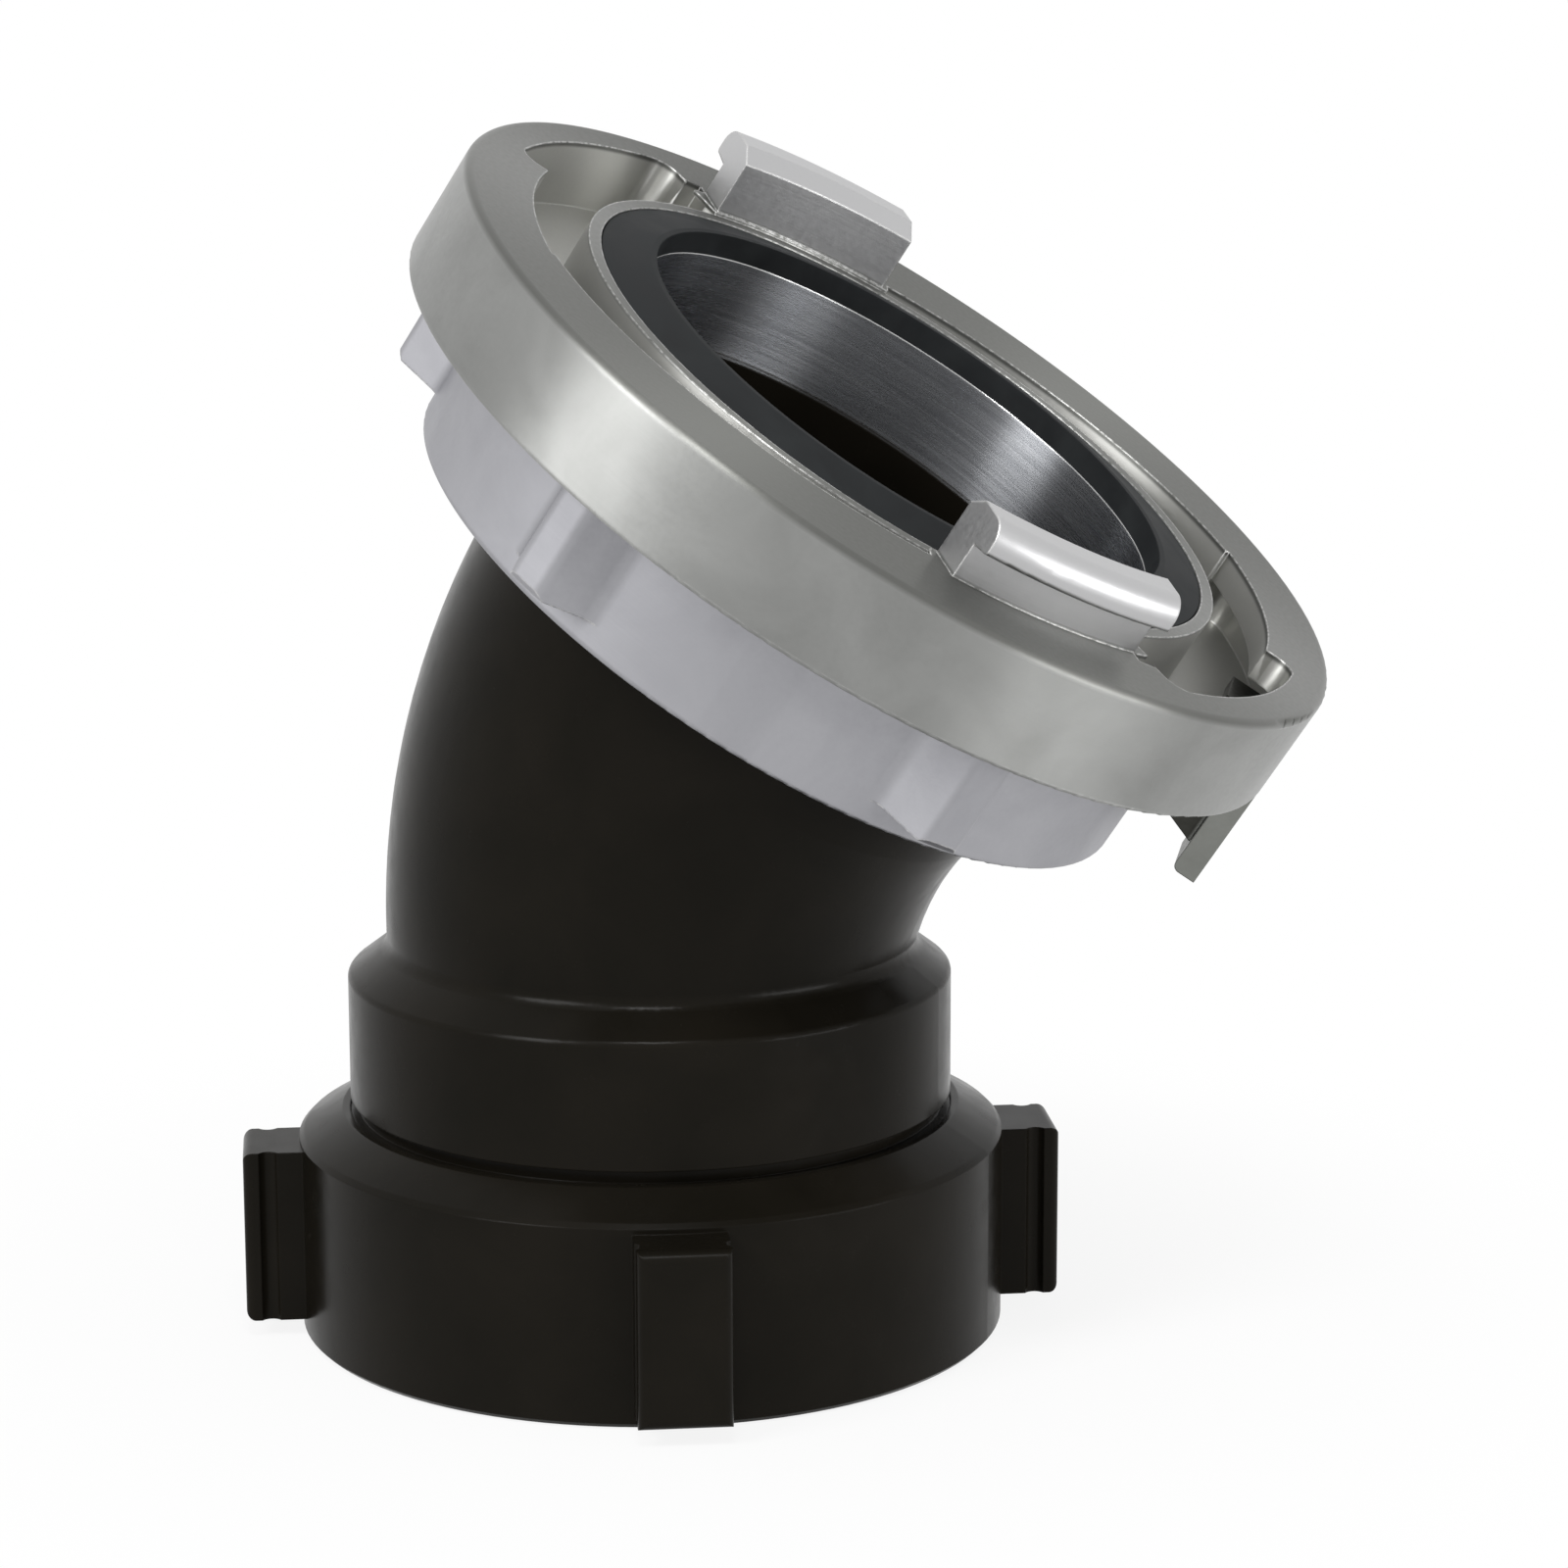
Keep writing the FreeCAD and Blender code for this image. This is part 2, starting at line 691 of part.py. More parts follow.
def make_thread_swivel():
    """Free-turning female coupling: thread below, wire race inside, four rocker lugs outside."""
    body = new_body("thread_swivel")
    turned(
        body,
        "swivel_blank",
        [
            ("thread_major", "0"),
            ("swivel_outer - swivel_edge", "0"),
            ("swivel_outer", "swivel_edge"),
            ("swivel_outer", "swivel_wall_top"),
            ("swivel_outer - swivel_edge", "swivel_wall_top + swivel_edge"),
            ("swivel_bore + swivel_neck_land", "swivel_top"),
            ("swivel_bore", "swivel_top"),
            ("swivel_bore", "tail_bottom + gasket_room"),
            ("gasket_pocket", "tail_bottom + gasket_room"),
            ("gasket_pocket", "thread_length"),
            ("thread_major", "thread_length"),
        ],
    )
    round_groove(body, "wire_race", "wire_reach", "wire_height", "wire_radius + running_gap")
    side = "rocker_lug_width / 2"
    lug = outline(
        new_sketch(
            body,
            "rocker_lug_outline",
            role="XY_Plane",
            turn="rocker_lug_angle",
            height="rocker_lug_bottom",
        ),
        [
            ("swivel_outer - rocker_lug_root", f"0 - {side}"),
            ("rocker_groove_start", f"0 - {side}", "-1 * rocker_groove_round"),
            ("rocker_groove_end", f"0 - {side}"),
            ("rocker_lug_tip", f"0 - {side}"),
            ("rocker_lug_tip", side),
            ("rocker_groove_end", side, "-1 * rocker_groove_round"),
            ("rocker_groove_start", side),
            ("swivel_outer - rocker_lug_root", side),
        ],
    )
    pad = feature(body, "Pad", "rocker_lug", lug, Length="rocker_lug_height")
    polar(body, "rocker_lugs", [pad], "rocker_lug_count", "360")
    dress(
        body,
        "Fillet",
        "rocker_lug_edges",
        body.Tip,
        lambda middle, edge: radius_of(middle) > value("rocker_lug_tip - rocker_lug_edge_band"),
        Radius="rocker_lug_round",
    )
    plug = circle(
        radial_sketch(body, "wire_plug_section", "wire_plug_angle", "collar_outer"),
        "0",
        "wire_height",
        "wire_plug_radius",
    )
    feature(body, "Pocket", "wire_plug_hole", plug, Length="swivel_outer", Reversed=True)
    return body


def make_wire_plug():
    """Socket screw that closes the hole through which the wire is fed into its race."""
    body = new_body("wire_plug")
    shaft = circle(
        radial_sketch(body, "wire_plug_end", "wire_plug_angle", "wire_plug_reach"),
        "0",
        "wire_height",
        "wire_plug_radius",
    )
    feature(body, "Pad", "wire_plug_shaft", shaft, Length="swivel_outer - swivel_edge - wire_plug_reach")
    socket = radial_sketch(body, "wire_plug_socket", "wire_plug_angle", "( swivel_outer - swivel_edge )")
    hexagon(socket, "wire_height", "plug_socket")
    feature(body, "Pocket", "wire_plug_hex", socket, Length="socket_depth")
    return body


def make_tail_gasket():
    """Flat rubber washer that the hose thread's end is tightened against."""
    body = new_body("tail_gasket")
    turned(
        body,
        "tail_gasket_ring",
        [
            ("tail_gasket_inner", "tail_bottom - tail_gasket_thickness"),
            ("gasket_pocket - gasket_room", "tail_bottom - tail_gasket_thickness"),
            ("gasket_pocket - gasket_room", "tail_bottom"),
            ("tail_gasket_inner", "tail_bottom"),
        ],
    )
    return body


def make_head_shank():
    """Machined liner of the head: carries the gasket and is the axle that the claw ring turns on."""
    body = new_body("head_shank", on_head=True)
    groove_top = "0 - snap_groove_depth"
    turned(
        body,
        "shank_blank",
        [
            ("head_bore", "0 - shank_mouth_depth"),
            ("head_bore", "0 - bore_edge_depth"),
            ("gasket_step", "0 - bore_edge_depth"),
            ("gasket_step", "0 - gasket_step_depth"),
            ("flange_outer", "0 - gasket_step_depth"),
            ("flange_outer", "0 - flange_bottom_depth"),
            ("shank_outer", "0 - flange_bottom_depth"),
            ("shank_outer", groove_top),
            ("shank_outer - snap_groove_bite", groove_top),
            ("shank_outer - snap_groove_bite", f"{groove_top} - snap_ring_thickness"),
            ("shank_outer", f"{groove_top} - snap_ring_thickness"),
            ("shank_outer", "0 - shank_bottom_depth"),
            ("spigot_outer", "0 - shank_bottom_depth"),
            ("spigot_outer", "0 - shank_mouth_depth"),
        ],
    )
    hole = circle(
        radial_sketch(body, "grub_section", "0", "( spigot_outer - cut_room )"),
        "0",
        "0 - grub_depth",
        "grub_radius",
    )
    tapped = feature(body, "Pocket", "grub_hole", hole, Length="shank_outer", Reversed=True)
    polar(body, "grub_holes", [tapped], "grub_count", "360")
    return body


def make_grub_screw(index):
    """Socket screw through the shank that bears on the casting and locks the two together."""
    label = f"grub_screw_{index + 1}"
    angle = f"( 360 / grub_count * {index} )"
    body = new_body(label, on_head=True)
    shaft = circle(
        radial_sketch(body, f"{label}_end", angle, "spigot_outer"),
        "0",
        "0 - grub_depth",
        "grub_radius",
    )
    feature(body, "Pad", f"{label}_shaft", shaft, Length="shank_outer - spigot_outer - grub_sink")
    socket = radial_sketch(body, f"{label}_socket", angle, "( shank_outer - grub_sink )")
    hexagon(socket, "0 - grub_depth", "grub_socket")
    feature(body, "Pocket", f"{label}_hex", socket, Length="socket_depth")
    return body


def make_head_gasket():
    """Rubber face seal: its lip stands just proud of the face and meets its twin."""
    body = new_body("head_gasket", on_head=True)
    turned(
        body,
        "head_gasket_ring",
        [
            ("gasket_lip", "0 - bore_edge_depth"),
            ("gasket_lip", "gasket_lip_top"),
            ("gasket_lip + gasket_lip_width", "gasket_lip_top"),
            ("flange_outer", "0 - gasket_outer_drop"),
            ("flange_outer", "0 - gasket_step_depth"),
            ("gasket_step", "0 - gasket_step_depth"),
            ("gasket_step", "0 - bore_edge_depth"),
        ],
    )
    return body


def make_washer(label, outer, top):
    """A thin plastic wear washer round the shank."""
    body = new_body(label, on_head=True)
    turned(
        body,
        f"{label}_ring",
        [
            ("shank_outer + running_gap", f"{top} - washer_thickness"),
            (outer, f"{top} - washer_thickness"),
            (outer, top),
            ("shank_outer + running_gap", top),
        ],
    )
    return body


def make_snap_ring():
    """Split steel ring in the shank's groove that keeps the claw ring on."""
    body = new_body("snap_ring", on_head=True)
    top = "0 - snap_groove_depth"
    turned(
        body,
        "snap_ring_strip",
        [
            ("shank_outer - snap_groove_bite", f"{top} - snap_ring_thickness"),
            ("snap_ring_outer", f"{top} - snap_ring_thickness"),
            ("snap_ring_outer", top),
            ("shank_outer - snap_groove_bite", top),
        ],
        Angle="360 - snap_ring_gap_angle",
    )
    return body


def make_lug_ring():
    """One casting: claws, slots and windows on the face, a turned band, a skirt with lugs."""
    body = new_body("lug_ring", on_head=True)
    blank = turned(
        body,
        "ring_blank",
        [
            ("rim_inner", RING_SHOULDER),
            ("rim_inner", "0 - rim_drop"),
            ("rim_outer", "0 - rim_drop"),
            ("rim_outer", "0"),
            ("band_outer", "0"),
            ("band_outer", "0 - band_depth"),
            ("skirt_outer", "0 - band_depth"),
            ("skirt_outer", "0 - skirt_depth"),
            ("skirt_inner", "0 - skirt_depth"),
            ("skirt_inner", "0 - skirt_bore_depth"),
            ("ring_bore", "0 - skirt_bore_depth"),
            ("ring_bore", RING_SHOULDER),
        ],
    )
    front = dress(
        body, "Fillet", "band_edge", blank, rim_circle("band_outer", "0"), Radius="band_edge_round"
    )
    back = dress(
        body,
        "Fillet",
        "band_back_edge",
        front,
        rim_circle("band_outer", "0 - band_depth"),
        Radius="band_back_round",
    )
    dress(
        body,
        "Fillet",
        "skirt_edge",
        back,
        rim_circle("skirt_outer", "0 - skirt_depth"),
        Radius="skirt_edge_round",
    )
    cuts = make_claw_ways(body)
    claw_sweep, claw_ends = make_claw(body)
    polar(body, "claw_pair", [*cuts, claw_sweep, claw_ends], "2", "360")
    dress(
        body,
        "Fillet",
        "slot_corners",
        body.Tip,
        upright_at("slot_wall"),
        Radius="slot_corner_round",
    )
    make_spanner_lugs(body)
    return body


def make_claw_ways(body):
    """The window that the other coupling's claw drops into, the undercut slot that it turns
    through, and the tapering channel that leads on to this side's own claw."""
    window = outline(
        new_sketch(
            body, "window_outline", turn="( window_start_angle + window_end_angle ) / 2"
        ),
        [
            ("rim_outer", "cut_room"),
            ("slot_wall", "cut_room"),
            ("slot_wall", "0 - slot_depth"),
            ("rim_outer", "0 - slot_depth"),
        ],
    )
    window_cut = feature(
        body,
        "Groove",
        "window",
        window,
        Angle="window_end_angle - window_start_angle",
        Midplane=True,
    )
    slot = outline(
        new_sketch(body, "slot_outline", turn="( window_start_angle + slot_end_angle ) / 2"),
        [
            ("rim_outer", "cut_room"),
            ("slot_outer", "cut_room"),
            ("slot_outer", "0 - slot_roof"),
            ("slot_wall", "0 - slot_roof"),
            ("slot_wall", "0 - slot_depth"),
            ("rim_outer", "0 - slot_depth"),
        ],
    )
    slot_cut = feature(
        body, "Groove", "slot", slot, Angle="slot_end_angle - window_start_angle", Midplane=True
    )
    start = "( slot_end_angle - channel_overlap_angle )"
    channel = outline(
        new_sketch(body, "channel_outline", role="XY_Plane"),
        [
            (*polar_point("channel_reach", start), "channel_reach"),
            polar_point("channel_end_reach", "channel_end_angle"),
            (*polar_point("rim_outer", "channel_end_angle"), "-1 * rim_outer"),
            polar_point("rim_outer", start),
        ],
    )
    channel_cut = feature(body, "Pocket", "channel", channel, Length="slot_depth")
    relief = outline(
        new_sketch(body, "claw_relief_outline", role="XY_Plane", turn="claw_angle"),
        [
            ("rim_outer", "claw_half_width"),
            ("claw_stem", "claw_half_width"),
            ("claw_stem", "claw_half_width + claw_relief_reach"),
            ("rim_outer", "claw_half_width + claw_relief_reach"),
        ],
    )
    relief_cut = feature(body, "Pocket", "claw_relief", relief, Length="slot_depth")
    return [window_cut, slot_cut, channel_cut, relief_cut]


def make_claw(body):
    """A claw: a stem on the face whose lip hooks outwards, with its two ends milled flat."""
    claw = outline(
        new_sketch(body, "claw_outline", turn="claw_angle"),
        [
            ("claw_inner", "0 - cut_room"),
            ("claw_stem", "0 - cut_room"),
            ("claw_stem", "claw_under - claw_under_slope"),
            ("claw_lip - claw_foot_round", "claw_under", "claw_foot_round"),
            ("claw_lip", "claw_under + claw_foot_round"),
            ("claw_lip", "claw_height - claw_lip_round", "claw_lip_round"),
            ("claw_lip - claw_lip_round", "claw_height"),
            ("claw_inner + claw_bevel_width", "claw_height"),
            ("claw_inner", "claw_height - claw_bevel_drop"),
        ],
    )
    sweep = feature(body, "Revolution", "claw", claw, Angle="claw_sweep_angle", Midplane=True)
    trim = new_sketch(body, "claw_trim_outline", role="XY_Plane", turn="claw_angle")
    for side in ("1", "-1"):
        outline(
            trim,
            [
                ("claw_inner - claw_trim_room", f"{side} * claw_half_width"),
                ("claw_lip + claw_trim_room", f"{side} * claw_half_width"),
                ("claw_lip + claw_trim_room", f"{side} * ( claw_half_width + claw_trim_room )"),
                ("claw_inner - claw_trim_room", f"{side} * ( claw_half_width + claw_trim_room )"),
            ],
        )
    ends = feature(body, "Pocket", "claw_ends", trim, Length="claw_height + cut_room", Reversed=True)
    return sweep, ends


def make_spanner_lugs(body):
    """Rounded ridges down the skirt, for a spanner, with their lower ends bevelled."""
    lug = outline(
        new_sketch(
            body,
            "spanner_lug_outline",
            role="XY_Plane",
            turn="lug_first_angle",
            height="0 - band_depth",
        ),
        [
            ("skirt_outer - lug_sink", "0 - lug_root_half"),
            ("skirt_outer - lug_edge_sink", "0 - lug_root_half"),
            ("lug_ridge", "0 - lug_ridge_half"),
            ("lug_ridge", "lug_ridge_half"),
            ("skirt_outer - lug_edge_sink", "lug_root_half"),
            ("skirt_outer - lug_sink", "lug_root_half"),
        ],
    )
    lug_pad = pad_down(body, "spanner_lug", lug, "lug_bottom_depth - band_depth")
    pattern = polar(body, "spanner_lugs", [lug_pad], "lug_count", "lug_pitch * ( lug_count - 1 )")
    crests = dress(
        body,
        "Fillet",
        "spanner_lug_crests",
        pattern,
        lambda middle, edge: upright_at("lug_ridge")(middle, edge)
        and middle.z < value("0 - band_depth"),
        Radius="lug_ridge_round",
    )
    dress(
        body,
        "Fillet",
        "spanner_lug_roots",
        crests,
        lambda middle, edge: upright_at("skirt_outer")(middle, edge)
        and middle.z < value("0 - band_depth"),
        Radius="lug_root_round",
    )
    ends = outline(
        new_sketch(body, "spanner_lug_end_outline"),
        [
            ("lug_ridge - lug_end_bevel - lug_sink", "0 - lug_bottom_depth - lug_sink"),
            ("lug_ridge + lug_sink", "0 - lug_bottom_depth - lug_sink"),
            ("lug_ridge + lug_sink", "lug_end_bevel + lug_sink - lug_bottom_depth"),
        ],
    )
    feature(body, "Groove", "spanner_lug_ends", ends, Angle="360")


def make_lever_room(body):
    """Cut the lever's chamber up into the band, and the hole for its pin."""
    room = outline(
        new_sketch(body, "lever_room_outline", role="XY_Plane", turn="lever_angle", height="0 - band_depth"),
        [
            ("room_inner", "0 - lever_width / 2 - lever_side_gap"),
            ("room_outer", "0 - lever_width / 2 - lever_side_gap"),
            ("room_outer", "lever_width / 2 + lever_side_gap"),
            ("room_inner", "lever_width / 2 + lever_side_gap"),
        ],
    )
    feature(body, "Pocket", "lever_room", room, Length="band_depth - lever_room_roof", Reversed=True)
    pin = circle(
        new_sketch(body, "lever_pin_hole_outline", turn="lever_angle"),
        "pin_reach",
        "0 - lever_pin_depth",
        "lever_pin_radius",
    )
    feature(
        body,
        "Pocket",
        "lever_pin_hole",
        pin,
        Length="lever_width + lever_side_gap * 2 + lever_pin_hold * 2",
        Midplane=True,
    )
    seat = circle(
        radial_sketch(body, "spring_seat_outline", "lever_angle", "spring_seat"),
        "0",
        "0 - spring_depth",
        "spring_seat_radius",
    )
    feature(body, "Pocket", "spring_seat_hole", seat, Length="skirt_wall", Reversed=True)


def make_lever_spring():
    """Coil spring from its seat in the skirt to the lever's web; it holds the tongue out."""
    body = new_body("lever_spring", on_head=True)
    sketch = new_sketch(body, "lever_spring_wire", turn="lever_angle")
    circle(sketch, "spring_seat + spring_wire", "spring_coil - spring_depth", "spring_wire")
    start = Vector(0, -value("spring_depth"), 0)
    axis = sketch.addGeometry(Part.LineSegment(start, start + Vector(value("spring_seat"), 0, 0)), True)
    pin_point(sketch, axis, 1, "0", "0 - spring_depth")
    pin_point(sketch, axis, 2, "spring_seat", "0 - spring_depth")
    coil = body.newObject("PartDesign::AdditiveHelix", "lever_spring_coil")
    coil.Profile = sketch
    coil.ReferenceAxis = (sketch, ["Axis0"])
    coil.Mode = "height-turns-angle"
    coil.setExpression("Turns", bound("spring_turns"))
    coil.setExpression("Height", bound("web_reach - spring_seat - spring_wire * 2"))
    doc.recompute()
    return body


def make_lock_lever():
    """Cast trigger: a nose behind the mating claw above the pin, a thumb tongue below it."""
    body = new_body("lock_lever", on_head=True)
    side = outline(
        new_sketch(body, "lever_side_outline", turn="lever_angle"),
        [
            ("pin_reach - lever_nose_length", "0 - lever_nose_top"),
            ("pin_reach - lever_nose_length", "0 - lever_nose_bottom"),
            ("pin_reach - lever_hub", "0 - lever_nose_bottom - lever_step"),
            ("pin_reach - lever_hub", "0 - band_depth - lever_step"),
            ("lever_front", "0 - lever_throat_depth"),
            ("lever_front", "lever_tip_round - lever_bottom_depth", "lever_tip_round"),
            ("lever_front + lever_tip_round", "0 - lever_bottom_depth"),
            ("lever_back", "0 - lever_bottom_depth"),
            ("lever_back", "0 - band_depth - lever_step"),
            ("room_outer - lever_back_gap", "0 - band_depth"),
            ("room_outer - lever_back_gap", "0 - lever_pin_depth"),
            ("pin_reach + lever_heel_reach", "lever_heel_rise - lever_pin_depth"),
            ("pin_reach - lever_step", "0 - lever_nose_top"),
        ],
    )
    feature(body, "Pad", "lever_blade", side, Length="lever_width", Midplane=True)
    web = outline(
        new_sketch(body, "lever_web_outline", turn="lever_angle"),
        [
            ("pin_reach - lever_hub", "0 - band_depth"),
            ("web_reach", "0 - lever_stop_depth"),
            ("web_reach", "0 - lever_web_toe"),
            ("lever_front + lever_step", "0 - lever_web_toe - lever_web_slope"),
            ("lever_front + lever_step", "0 - band_depth"),
        ],
    )
    feature(body, "Pad", "lever_web", web, Length="lever_web_width", Midplane=True)
    pin = circle(
        new_sketch(body, "lever_pin_bore_outline", turn="lever_angle"),
        "pin_reach",
        "0 - lever_pin_depth",
        "lever_pin_radius + lever_pin_gap",
    )
    feature(body, "Pocket", "lever_pin_bore", pin, Length="lever_width + cut_room * 2", Midplane=True)
    return body


def make_lever_pin():
    """Steel pin across the chamber that the lever rocks on."""
    body = new_body("lever_pin", on_head=True)
    section = circle(
        new_sketch(body, "lever_pin_section", turn="lever_angle"),
        "pin_reach",
        "0 - lever_pin_depth",
        "lever_pin_radius",
    )
    feature(
        body,
        "Pad",
        "lever_pin_shaft",
        section,
        Length="lever_width + lever_side_gap * 2 + lever_pin_hold * 2",
        Midplane=True,
    )
    return body


def check(pieces):
    """Stop before anything is written if a feature failed or a piece isn't one sound solid."""
    for item in doc.Objects:
        if "Invalid" in item.State or "Error" in item.State:
            raise RuntimeError(f"{item.Label} is {item.State}")
    for piece in pieces:
        shape = piece.Shape
        if shape.isNull() or not shape.isValid() or len(shape.Solids) != 1:
            raise RuntimeError(f"{piece.Label} is no sound solid")


def main():
    ring = make_lug_ring()
    make_lever_room(ring)
    pieces = [
        make_elbow_body(),
        make_round_ring(
            "tail_seal_ring",
            "collar_outer - tail_ring_radius + running_gap - tail_seal_gap",
            "tail_ring_height",
            "tail_ring_radius - tail_seal_gap",
        ),
        make_thread_swivel(),
        make_round_ring("retaining_wire", "wire_reach", "wire_height", "wire_radius"),
        make_wire_plug(),
        make_tail_gasket(),
        make_head_shank(),
        make_round_ring(
            "shank_seal_ring",
            "spigot_outer - shank_ring_radius",
            "0 - shank_ring_depth",
            "shank_ring_radius - shank_seal_gap",
            on_head=True,
        ),
        *[make_grub_screw(index) for index in range(int(value("grub_count")))],
        make_head_gasket(),
        make_washer("front_washer", "flange_outer", "0 - flange_bottom_depth"),
        make_washer("rear_washer", "rear_washer_outer", f"0 - {REAR_WASHER_DEPTH}"),
        make_snap_ring(),
        ring,
        make_lock_lever(),
        make_lever_pin(),
        make_lever_spring(),
    ]
    doc.recompute()
    check(pieces)
    os.makedirs("parts", exist_ok=True)
    for piece in pieces:
        piece.Shape.exportStep(f"parts/{piece.Label}.step")
        print(piece.Label, round(piece.Shape.Volume, 1), piece.Shape.BoundBox)


main()
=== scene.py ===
import math

import bpy
import mathutils
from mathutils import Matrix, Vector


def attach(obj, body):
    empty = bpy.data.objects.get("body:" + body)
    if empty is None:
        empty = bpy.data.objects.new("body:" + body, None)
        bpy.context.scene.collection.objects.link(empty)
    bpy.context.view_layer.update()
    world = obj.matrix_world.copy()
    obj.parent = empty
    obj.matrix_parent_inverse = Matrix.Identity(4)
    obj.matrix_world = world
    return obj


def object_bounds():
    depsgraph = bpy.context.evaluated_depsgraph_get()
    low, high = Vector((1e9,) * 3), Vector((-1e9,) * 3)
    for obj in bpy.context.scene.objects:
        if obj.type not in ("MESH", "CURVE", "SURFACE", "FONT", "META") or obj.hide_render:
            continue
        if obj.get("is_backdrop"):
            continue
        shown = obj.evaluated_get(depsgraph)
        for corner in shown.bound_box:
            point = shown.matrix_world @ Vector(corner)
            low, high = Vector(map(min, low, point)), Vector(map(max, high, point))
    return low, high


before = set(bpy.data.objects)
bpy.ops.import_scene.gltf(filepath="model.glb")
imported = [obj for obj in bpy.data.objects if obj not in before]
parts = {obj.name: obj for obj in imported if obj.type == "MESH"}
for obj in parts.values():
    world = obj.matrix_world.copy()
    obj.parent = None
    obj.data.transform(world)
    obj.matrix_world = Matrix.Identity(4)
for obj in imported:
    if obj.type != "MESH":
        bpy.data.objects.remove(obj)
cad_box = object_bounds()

scene = bpy.context.scene
scene.view_settings.view_transform = "Standard"

# Lengths are metres. The coupling head stands on the bent end, tilted by the bend.
HEAD_TILT = math.radians(33.5)
HEAD_AXIS = (math.sin(HEAD_TILT), 0, math.cos(HEAD_TILT))
HEAD_CENTRE = (0.056022, 0, 0.194640)
WHITE = (1, 1, 1, 1)


def put(made, kind, sockets, **settings):
    """Add a shader node; each socket gets a plain value or another node's output."""
    new = made.node_tree.nodes.new("ShaderNode" + kind)
    for key, setting in settings.items():
        setattr(new, key, setting)
    for key, given in sockets.items():
        if isinstance(given, bpy.types.NodeSocket):
            made.node_tree.links.new(given, new.inputs[key])
        else:
            new.inputs[key].default_value = given
    return new.outputs


def times(made, first, second):
    return put(made, "Math", {0: first, 1: second}, operation="MULTIPLY")[0]


def greater(made, first, second):
    return put(made, "Math", {0: first, 1: second}, operation="MAXIMUM")[0]


def spread_out(made, source, low, high, start=0.3, end=0.7):
    """Carry a value's middle range, or another range, over to a new one."""
    return put(
        made,
        "MapRange",
        {"Value": source, "From Min": start, "From Max": end, "To Min": low, "To Max": high},
    )["Result"]


def ramp(made, source, start, end):
    """0 where a value is at its start, rising to 1 where it reaches its end."""
    return spread_out(made, source, 0, 1, start, end)


def shader_inputs(made):
    return made.node_tree.nodes["Principled BSDF"].inputs


def finish(name, metallic=0.0, roughness=0.5, specular=0.5):
    """A material whose plain values sit on the shader itself."""
    made = bpy.data.materials.new(name)
    made.use_nodes = True
    sockets = shader_inputs(made)
    sockets["Metallic"].default_value = metallic
    sockets["Roughness"].default_value = roughness
    sockets["Specular IOR Level"].default_value = specular
    return made


def drive(made, socket, source):
    made.node_tree.links.new(source, shader_inputs(made)[socket])


def grain(made, place, size, detail=3.0, distortion=0.0):
    """Random cells of a size in metres, as a value from 0 to 1."""
    fine = put(
        made,
        "TexNoise",
        {"Vector": place, "Scale": 1 / size, "Detail": detail, "Distortion": distortion},
    )
    return fine["Fac"]


def patches(made, place, size, low=0.0, high=1.0, detail=3.0, distortion=0.0):
    """Soft patches of a size in metres, between two values."""
    return spread_out(made, grain(made, place, size, detail, distortion), low, high)


def blend_colours(made, share, first, second):
    mix = made.node_tree.nodes.new("ShaderNodeMix")
    mix.data_type = "RGBA"
    for index, given in ((0, share), (6, first), (7, second)):
        if isinstance(given, bpy.types.NodeSocket):
            made.node_tree.links.new(given, mix.inputs[index])
        else:
            mix.inputs[index].default_value = (*given, 1) if index else given
    return mix.outputs[2]


def relief(made, height, depth, below=None):
    """A bump of a depth in metres, on top of another one."""
    sockets = {"Height": height, "Distance": depth, "Strength": 1.0}
    if below is not None:
        sockets["Normal"] = below
    return put(made, "Bump", sockets)["Normal"]


def soft_edge(made, width):
    """A normal that rounds the piece's sharp edges to a width, for the light only."""
    return put(made, "Bevel", {"Radius": width}, samples=6)["Normal"]


def worn_edges(made, rounded):
    """1 along the piece's edges, where handling has rubbed them bright, and 0 elsewhere."""
    worn_match = 0.94
    flat = put(made, "NewGeometry", {})["Normal"]
    match = put(made, "VectorMath", {0: rounded, 1: flat}, operation="DOT_PRODUCT")["Value"]
    return ramp(made, match, 1.0, worn_match)


def local_place(made, on_head=False):
    """Object coordinates; for the head, turned so that z = 0 lies on the coupling face."""
    place = put(made, "TexCoord", {})["Object"]
    if not on_head:
        return place
    sockets = {"Vector": place, "Location": HEAD_CENTRE, "Rotation": (0, HEAD_TILT, 0)}
    return put(made, "Mapping", sockets, vector_type="TEXTURE")["Vector"]


def round_place(made, place):
    """A place's way out from the z axis, its length, and the place's height."""
    sides = put(made, "SeparateXYZ", {"Vector": place})
    arm = put(made, "CombineXYZ", {"X": sides["X"], "Y": sides["Y"]})["Vector"]
    reach = put(made, "VectorMath", {0: arm}, operation="LENGTH")["Value"]
    return arm, reach, sides["Z"]


def round_lines(made, place, pitch, change=1.0):
    """Fine lines that run round the z axis, as a lathe tool leaves them; they fade in and out."""
    arm, reach, height = round_place(made, place)
    heading = put(made, "VectorMath", {0: arm}, operation="NORMALIZE")["Vector"]
    sides = put(made, "SeparateXYZ", {"Vector": heading})
    sockets = {
        "X": times(made, reach, 1 / pitch),
        "Y": times(made, sides["X"], change),
        "Z": times(made, sides["Y"], change),
    }
    spot = put(made, "CombineXYZ", sockets)["Vector"]
    level = times(made, height, 1 / pitch)
    lines = put(
        made,
        "TexNoise",
        {"Vector": spot, "W": level, "Scale": 1.0, "Detail": 2.0},
        noise_dimensions="4D",
    )
    return lines["Fac"]


